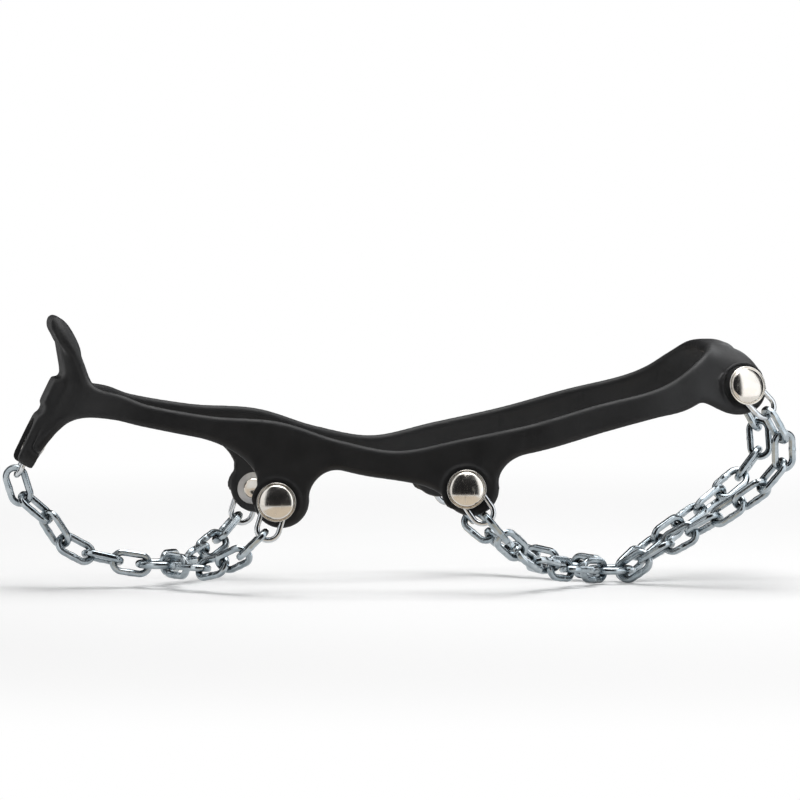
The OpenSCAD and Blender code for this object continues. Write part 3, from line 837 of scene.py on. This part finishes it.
def rubber_sling():
    collars = [cap_collar(s) for s in STRANDS if s != "heel"]
    sling = joined("rubber_sling_moulded", [sling_body(), *heel_pad(), *collars])
    skin = sling.modifiers.new("one_skin", "REMESH")
    skin.mode = "VOXEL"
    skin.voxel_size = VOXEL * MM
    soften = sling.modifiers.new("soften", "SMOOTH")
    soften.factor = 0.5
    soften.iterations = SMOOTH_TURNS
    plain_mesh(sling)
    soften_heel_root(sling)
    cut_away(sling, rivet_rooms() + [hook_recess()])
    sling.data.shade_smooth()
    sling.data.set_sharp_from_angle(angle=RUBBER_SHARP)
    sling.data.materials.clear()
    sling.data.materials.append(rubber)
    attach(sling, "sling")
    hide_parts("rubber_sling")


# ---- Rivets

def lathe(name, profile, sides=72):
    """Turns a profile of radius and height, in millimetres, about z. Points on the axis close the ends."""
    points = [(radius * math.cos(a), radius * math.sin(a), z)
              for radius, z in profile for a in full_turn(sides)]
    form = mesh_object(name, points, ring_faces(len(profile), sides, closed=False))
    work = bmesh.new()
    work.from_mesh(form.data)
    bmesh.ops.remove_doubles(work, verts=work.verts, dist=1e-7)
    bmesh.ops.recalc_face_normals(work, faces=work.faces)
    work.to_mesh(form.data)
    work.free()
    return form


def rivet_profile(seat_z, inner, crown):
    """From the flange's inner face up the stem to the cap: a rolled rim, a groove, and a shallow crown."""
    base, head = -inner - WASHER_T, seat_z + CAP_LIFT
    foot = base - FLANGE_T
    profile = [(0, foot + FLANGE_ROLL), (STEM_R * 0.55, foot + 0.2), (STEM_R * 0.8, foot),
               (FLANGE_R - FLANGE_ROLL, foot), (FLANGE_R, foot + FLANGE_ROLL), (FLANGE_R, base),
               (STEM_R, base), (STEM_R, head), (CAP_R - CAP_TURN, head)]
    profile += [(CAP_R - CAP_TURN + CAP_TURN * math.sin(a), head + CAP_TURN - CAP_TURN * math.cos(a))
                for a in np.linspace(0.3, math.pi / 2, 5)]
    profile += [(CAP_R - RIM_ROLL + RIM_ROLL * math.cos(a), head + CAP_RIM - RIM_ROLL + RIM_ROLL * math.sin(a))
                for a in np.linspace(0.2, math.pi / 2 + 0.5, 7)]
    ball, turn = crown
    steep = math.asin(CAP_CROWN / ball)
    middle, low = CAP_CROWN - turn * math.sin(steep), head + CAP_RIM - GROOVE
    profile += [(middle + turn * math.sin(a), low + turn * math.cos(a))
                for a in np.linspace(math.pi / 2, steep, 9)]
    low += turn * math.cos(steep) - ball * math.cos(steep)
    profile += [(ball * math.sin(a), low + ball * math.cos(a)) for a in np.linspace(steep, 0, 16)[1:]]
    return profile


def socket_id(tree, name):
    return next(s.identifier for s in tree.interface.items_tree if s.name == name and s.in_out == "INPUT")


def new_tree(name, inputs):
    tree = bpy.data.node_groups.new(name, "GeometryNodeTree")
    tree.interface.new_socket("Geometry", in_out="INPUT", socket_type="NodeSocketGeometry")
    for label, kind in inputs:
        tree.interface.new_socket(label, in_out="INPUT", socket_type=kind)
    tree.interface.new_socket("Geometry", in_out="OUTPUT", socket_type="NodeSocketGeometry")
    return tree, tree.nodes.new("NodeGroupInput"), tree.nodes.new("NodeGroupOutput")


def rivet_tree():
    """Sets one rivet form on every point, turned by the point's own turn."""
    tree, given, made = new_tree("set_rivets", [
        ("Rivet", "NodeSocketObject"), ("Finish", "NodeSocketMaterial")])
    form = tree.nodes.new("GeometryNodeObjectInfo")
    turn = tree.nodes.new("GeometryNodeInputNamedAttribute")
    turn.data_type = "FLOAT_VECTOR"
    turn.inputs["Name"].default_value = "turn"
    copies = tree.nodes.new("GeometryNodeInstanceOnPoints")
    real = tree.nodes.new("GeometryNodeRealizeInstances")
    finish = tree.nodes.new("GeometryNodeSetMaterial")
    link = tree.links.new
    link(given.outputs["Rivet"], form.inputs["Object"])
    link(given.outputs["Geometry"], copies.inputs["Points"])
    link(form.outputs["Geometry"], copies.inputs["Instance"])
    link(turn.outputs["Attribute"], copies.inputs["Rotation"])
    link(copies.outputs["Instances"], real.inputs["Geometry"])
    link(real.outputs["Geometry"], finish.inputs["Geometry"])
    link(given.outputs["Finish"], finish.inputs["Material"])
    link(finish.outputs["Geometry"], made.inputs["Geometry"])
    return tree


def set_rivets(tree, name, strands, form):
    points = mesh_object(name, [rivet_place(s)[0] for s in strands], [])
    turns = points.data.attributes.new("turn", "FLOAT_VECTOR", "POINT")
    for row, strand in zip(turns.data, strands):
        row.vector = seat(*rivet_place(strand)).to_euler()
    layer = points.modifiers.new("rivets", "NODES")
    layer.node_group = tree
    layer[socket_id(tree, "Rivet")] = form
    layer[socket_id(tree, "Finish")] = nickel
    plain_mesh(points)
    bpy.data.objects.remove(form)
    return points


def rivets():
    tree = rivet_tree()
    lobes = [s for s in STRANDS if s != "heel"]
    inner = BAND_T / 2 - WASHER_T - FLANGE_T
    on_lobes = set_rivets(tree, "lobe_rivets", lobes,
                          lathe("lobe_rivet", rivet_profile(LOBE_SEAT, inner, LOBE_CROWN)))
    at_heel = set_rivets(tree, "heel_rivet", ["heel"],
                         lathe("heel_rivet_form", rivet_profile(HEEL_SEAT, HEEL_PAD_T / 2, HEEL_CROWN)))
    piece = joined("rivets_domed", [on_lobes, at_heel])
    piece.data.materials.append(nickel)
    piece.data.shade_smooth()
    piece.data.set_sharp_from_angle(angle=METAL_SHARP)
    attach(piece, "sling")
    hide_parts("rivets")


# ---- Links and rings

LINK_POINTS = 96


def link_tree():
    """One welded link in its place: an oval path, a wire with cut or round corners, and a weld on one side."""
    tree, given, made = new_tree("welded_link", [
        ("Wire", "NodeSocketFloat"), ("Bow Radius", "NodeSocketFloat"), ("Span", "NodeSocketFloat"),
        ("Corner", "NodeSocketFloat"), ("Corner Steps", "NodeSocketInt"), ("Edge", "NodeSocketFloat"),
        ("Weld", "NodeSocketFloat"), ("Place", "NodeSocketVector"), ("Turn", "NodeSocketVector"),
        ("Finish", "NodeSocketMaterial")])
    link = tree.links.new

    def math_node(operation, a, b):
        node = tree.nodes.new("ShaderNodeMath")
        node.operation = operation
        for i, value in enumerate((a, b)):
            if isinstance(value, (int, float)):
                node.inputs[i].default_value = value
            else:
                link(value, node.inputs[i])
        return node.outputs[0]

    def position():
        split = tree.nodes.new("ShaderNodeSeparateXYZ")
        link(tree.nodes.new("GeometryNodeInputPosition").outputs["Position"], split.inputs["Vector"])
        return split.outputs

    circle = tree.nodes.new("GeometryNodeCurvePrimitiveCircle")
    circle.inputs["Resolution"].default_value = LINK_POINTS
    link(given.outputs["Bow Radius"], circle.inputs["Radius"])
    half_step = tree.nodes.new("GeometryNodeTransform")
    half_step.inputs["Rotation"].default_value = (0, 0, math.pi / LINK_POINTS)
    link(circle.outputs["Curve"], half_step.inputs["Geometry"])
    pull = tree.nodes.new("ShaderNodeCombineXYZ")
    link(math_node("MULTIPLY", math_node("GREATER_THAN", position()["X"], 0.0), given.outputs["Span"]),
         pull.inputs["X"])
    oval = tree.nodes.new("GeometryNodeSetPosition")
    link(half_step.outputs["Geometry"], oval.inputs["Geometry"])
    link(pull.outputs["Vector"], oval.inputs["Offset"])
    even = tree.nodes.new("GeometryNodeResampleCurve")
    even.inputs["Count"].default_value = LINK_POINTS
    link(oval.outputs["Geometry"], even.inputs["Curve"])

    square = tree.nodes.new("GeometryNodeCurvePrimitiveQuadrilateral")
    link(given.outputs["Wire"], square.inputs["Width"])
    link(given.outputs["Wire"], square.inputs["Height"])
    corner = tree.nodes.new("GeometryNodeFilletCurve")
    corner.mode = "POLY"
    link(square.outputs["Curve"], corner.inputs["Curve"])
    link(given.outputs["Corner"], corner.inputs["Radius"])
    link(given.outputs["Corner Steps"], corner.inputs["Count"])
    edge = tree.nodes.new("GeometryNodeFilletCurve")
    edge.mode = "POLY"
    edge.inputs["Count"].default_value = 3
    link(corner.outputs["Curve"], edge.inputs["Curve"])
    link(given.outputs["Edge"], edge.inputs["Radius"])
    sweep = tree.nodes.new("GeometryNodeCurveToMesh")
    link(even.outputs["Curve"], sweep.inputs["Curve"])
    link(edge.outputs["Curve"], sweep.inputs["Profile Curve"])

    where = position()
    off = math_node("SUBTRACT", where["X"], math_node("MULTIPLY", given.outputs["Span"], 0.5))
    near = math_node("DIVIDE", off, WELD_WIDE * MM)
    bell = math_node("POWER", 2.718, math_node("MULTIPLY", math_node("MULTIPLY", near, near), -1.0))
    seam = math_node("MULTIPLY", math_node("MULTIPLY", bell, math_node("GREATER_THAN", where["Y"], 0.0)),
                     given.outputs["Weld"])
    swell = tree.nodes.new("ShaderNodeVectorMath")
    swell.operation = "SCALE"
    link(tree.nodes.new("GeometryNodeInputNormal").outputs["Normal"], swell.inputs[0])
    link(seam, swell.inputs["Scale"])
    weld = tree.nodes.new("GeometryNodeSetPosition")
    link(sweep.outputs["Mesh"], weld.inputs["Geometry"])
    link(swell.outputs["Vector"], weld.inputs["Offset"])

    put = tree.nodes.new("GeometryNodeTransform")
    link(weld.outputs["Geometry"], put.inputs["Geometry"])
    link(given.outputs["Place"], put.inputs["Translation"])
    link(given.outputs["Turn"], put.inputs["Rotation"])
    real = tree.nodes.new("GeometryNodeRealizeInstances")
    link(put.outputs["Geometry"], real.inputs["Geometry"])
    finish = tree.nodes.new("GeometryNodeSetMaterial")
    link(real.outputs["Geometry"], finish.inputs["Geometry"])
    link(given.outputs["Finish"], finish.inputs["Material"])
    link(finish.outputs["Geometry"], made.inputs["Geometry"])
    return tree


def link_piece(tree, node, place, turn, sizes, material):
    """The visual link or ring for a CAD node, which is also its body."""
    piece = new_object(node + "_wire", bpy.data.meshes.new(node + "_wire"))
    layer = piece.modifiers.new("link", "NODES")
    layer.node_group = tree
    gap, wire_size, span, corner, steps, edge, weld = sizes
    values = {"Wire": wire_size * MM, "Bow Radius": (gap + wire_size) / 2 * MM, "Span": span * MM,
              "Corner": corner * MM, "Corner Steps": steps, "Edge": edge * MM, "Weld": weld * MM,
              "Place": [float(x) * MM for x in place], "Turn": list(turn), "Finish": material}
    for label, value in values.items():
        layer[socket_id(tree, label)] = value
    plain_mesh(piece)
    piece.data.shade_smooth()
    piece.data.set_sharp_from_angle(angle=METAL_SHARP)
    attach(piece, node)
    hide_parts(node)


def link_turn(way, normal):
    """Turn of a link whose path runs along way and lies flat to normal."""
    wide = np.cross(normal, way)
    matrix = Matrix([[float(axis[row]) for axis in (way, wide, normal)] for row in range(3)])
    return matrix.to_euler()


def chain():
    tree = link_tree()
    link_sizes = (LINK_GAP, LINK_WIRE, LINK_SPAN, LINK_CHAMFER, 1, LINK_EDGE, LINK_WELD)
    hook_sizes = (HOOK_GAP, HOOK_WIRE, HOOK_SPAN, HOOK_WIRE / 2 * ROUND_SHARE, ROUND_STEPS, 0.0, 0.0)
    ring_sizes = (RING_IN, RING_WIRE, 0.0, RING_WIRE / 2 * ROUND_SHARE, ROUND_STEPS, 0.0, 0.0)
    for node, hinge in joints.items():
        normal = unit(np.array(hinge["axis"]))
        middle = box_middle(node)
        if node.endswith("_ring"):
            link_piece(tree, node, middle, (0, 0, 0), ring_sizes, zinc)
        elif node.endswith("_link_1"):
            way = hook_way(node[:-len("_link_1")])
            first = middle - way * HOOK_SPAN / 2
            link_piece(tree, node, first, link_turn(way, normal), hook_sizes, wire)
        else:
            first = np.array(hinge["pos_m"]) / MM
            way = unit(middle - first)
            link_piece(tree, node, first, link_turn(way, normal), link_sizes, zinc)


# ---- Floor, light and camera

# In metres. The floor lies just under the lowest link, and fades to plain white between two distances
FLOOR_R, FLOOR_SIDES = 6.0, 64
FLOOR_GAP, CARD_GAP = 0.0004, 0.0002
FLOOR_FADE = (0.22, 0.7)
# Strengths: the floor's own light to the eye, and what the far floor and the sky give the object
FLOOR_LIFT, FAR_FLOOR_LIGHT, SKY_LIGHT = 0.1, 0.3, 0.22
VIEW_AZIMUTH, VIEW_ELEVATION = math.radians(-7), math.radians(4)
VIEW_WIDTH = 0.32
VIEW_DISTANCE = 8.0
VIEW_RISE = 0.0636
SENSOR = 36.0


def white_to_eye(tree, strength):
    """1 for what the eye, metal and glass see, and the given strength for what lights the object."""
    path = tree.nodes.new("ShaderNodeLightPath")
    seen = path.outputs["Is Camera Ray"]
    for label in ("Is Glossy Ray", "Is Transmission Ray"):
        either = tree.nodes.new("ShaderNodeMath")
        either.operation = "MAXIMUM"
        tree.links.new(seen, either.inputs[0])
        tree.links.new(path.outputs[label], either.inputs[1])
        seen = either.outputs[0]
    level = tree.nodes.new("ShaderNodeMapRange")
    level.inputs["To Min"].default_value = strength
    level.inputs["To Max"].default_value = 1.0
    tree.links.new(seen, level.inputs["Value"])
    return level.outputs["Result"]


def floor():
    low = float(cad_box[0].z) - FLOOR_GAP
    mesh = bpy.data.meshes.new("floor")
    ring = [(FLOOR_R * math.cos(a), FLOOR_R * math.sin(a), low) for a in full_turn(FLOOR_SIDES)]
    mesh.from_pydata(ring, [], [tuple(range(FLOOR_SIDES))])
    piece = new_object("floor", mesh)
    material = bpy.data.materials.new("pale_floor")
    material.use_nodes = True
    tree = material.node_tree
    shader = tree.nodes["Principled BSDF"]
    shader.inputs["Base Color"].default_value = (0.92, 0.92, 0.92, 1)
    shader.inputs["Roughness"].default_value = 0.8
    shader.inputs["Specular IOR Level"].default_value = 0.0
    shader.inputs["Emission Color"].default_value = (1, 1, 1, 1)
    lift = tree.nodes.new("ShaderNodeMath")
    lift.operation = "MULTIPLY"
    lift.inputs[1].default_value = FLOOR_LIFT
    tree.links.new(tree.nodes.new("ShaderNodeLightPath").outputs["Is Camera Ray"], lift.inputs[0])
    tree.links.new(lift.outputs[0], shader.inputs["Emission Strength"])
    glow = tree.nodes.new("ShaderNodeEmission")
    far = tree.nodes.new("ShaderNodeVectorMath")
    far.operation = "LENGTH"
    tree.links.new(tree.nodes.new("ShaderNodeTexCoord").outputs["Object"], far.inputs[0])
    fade = tree.nodes.new("ShaderNodeMapRange")
    fade.interpolation_type = "SMOOTHSTEP"
    fade.inputs["From Min"].default_value, fade.inputs["From Max"].default_value = FLOOR_FADE
    tree.links.new(far.outputs["Value"], fade.inputs["Value"])
    tree.links.new(white_to_eye(tree, FAR_FLOOR_LIGHT), glow.inputs["Strength"])
    mix = tree.nodes.new("ShaderNodeMixShader")
    tree.links.new(fade.outputs["Result"], mix.inputs["Fac"])
    tree.links.new(shader.outputs[0], mix.inputs[1])
    tree.links.new(glow.outputs[0], mix.inputs[2])
    tree.links.new(mix.outputs[0], tree.nodes["Material Output"].inputs["Surface"])
    mesh.materials.append(material)


def softbox(name, place, aim, size, power, mirrored=True):
    """Area lamp that faces its aim. One that isn't mirrored lights without a spot in bright metal."""
    lamp = bpy.data.lights.new(name, "AREA")
    lamp.shape = "RECTANGLE"
    lamp.size, lamp.size_y = size
    lamp.energy = power
    box = new_object(name, lamp)
    box.location = place
    box.rotation_euler = (Vector(aim) - Vector(place)).to_track_quat("-Z", "Y").to_euler()
    box.visible_glossy = mirrored


def lights():
    softbox("top_softbox", (0.1, 0.05, 1.1), (0, 0, 0.05), (1.2, 0.8), 11.0)
    softbox("front_fill", (-0.6, -1.2, 0.6), (0, 0, 0.04), (0.6, 0.6), 1.2, mirrored=False)
    softbox("toe_side", (1.0, -0.5, 0.5), (0.1, 0, 0.05), (0.4, 0.6), 1.5, mirrored=False)
    world = bpy.data.worlds.new("studio")
    world.use_nodes = True
    bpy.context.scene.world = world
    sky = world.node_tree.nodes["Background"]
    sky.inputs["Color"].default_value = (1, 1, 1, 1)
    world.node_tree.links.new(white_to_eye(world.node_tree, SKY_LIGHT), sky.inputs["Strength"])


def card(name, points, faces, colour, glow=0.0):
    """Card that only bright metal and gloss mirror, as a studio's screens."""
    mesh = bpy.data.meshes.new(name)
    mesh.from_pydata(points, [], faces)
    piece = new_object(name, mesh)
    material = bpy.data.materials.new(name)
    material.use_nodes = True
    shader = material.node_tree.nodes["Principled BSDF"]
    shader.inputs["Base Color"].default_value = (*colour, 1)
    shader.inputs["Emission Color"].default_value = (*colour, 1)
    shader.inputs["Emission Strength"].default_value = glow
    shader.inputs["Roughness"].default_value = 0.9
    shader.inputs["Specular IOR Level"].default_value = 0.0
    mesh.materials.append(material)
    piece.visible_camera = False
    piece.visible_shadow = False
    piece.visible_diffuse = False


# Dark screens: their radius, the turns between which each one stands, and their foot and head above the floor
DARK_CARD_R = 0.32
DARK_CARDS = {"near": (-46, 34), "far": (146, 226), "heel": (-104, -78), "toe": (80, 104)}
DARK_CARD_HIGH = (0.008, 0.6)
DARK_CARD_POINTS = 25
# Near and far corner of the warm table top on each side
WARM_CARD = ((-0.13, 0.075), (0.11, 0.27))
# Ends of the upright white card before the toe, and its head
WHITE_CARD = ((0.20, 0.27), (0.5, 0.10), 0.5)
DARK, WARM, WHITE, WHITE_GLOW = (0.025, 0.025, 0.027), (0.72, 0.63, 0.52), (0.86, 0.88, 0.90), 0.9


def cards():
    """Dark screens round the object, and on each side a warm table top and a white card by the toe."""
    low, n = float(cad_box[0].z) - CARD_GAP, DARK_CARD_POINTS
    for name, (turn_from, turn_to) in DARK_CARDS.items():
        turns = np.radians(np.linspace(turn_from, turn_to, n))
        points = [(DARK_CARD_R * math.sin(a), -DARK_CARD_R * math.cos(a), low + z)
                  for z in DARK_CARD_HIGH for a in turns]
        card("dark_card_" + name, points, [(i, i + 1, i + n + 1, i + n) for i in range(n - 1)], DARK)
    for name, side in (("near", -1), ("far", 1)):
        (x0, y0), (x1, y1) = WARM_CARD
        card("warm_card_" + name, [(x0, side * y0, low), (x1, side * y0, low), (x1, side * y1, low),
                                   (x0, side * y1, low)], [(0, 1, 2, 3)], WARM)
        (x0, y0), (x1, y1), high = WHITE_CARD
        card("white_card_" + name, [(x0, side * y0, low), (x1, side * y1, low), (x1, side * y1, high),
                                    (x0, side * y0, high)], [(0, 1, 2, 3)], WHITE, WHITE_GLOW)


def camera():
    data = bpy.data.cameras.new("photo_view")
    data.sensor_width = SENSOR
    data.lens = SENSOR * VIEW_DISTANCE / VIEW_WIDTH
    data.clip_end = 100
    eye = new_object("photo_view", data)
    back = Vector((math.sin(VIEW_AZIMUTH) * math.cos(VIEW_ELEVATION),
                   -math.cos(VIEW_AZIMUTH) * math.cos(VIEW_ELEVATION), math.sin(VIEW_ELEVATION)))
    turn = (-back).to_track_quat("-Z", "Y")
    eye.location = turn @ Vector((0, VIEW_RISE, 0)) + back * VIEW_DISTANCE
    eye.rotation_mode = "QUATERNION"
    eye.rotation_quaternion = turn
    bpy.context.scene.camera = eye


bpy.context.scene.view_settings.view_transform = "Standard"
rubber_sling()
rivets()
chain()
washers = frame["nodes"]["rivet_washers"]
washers.data.materials.clear()
washers.data.materials.append(steel)
floor()
lights()
cards()
camera()
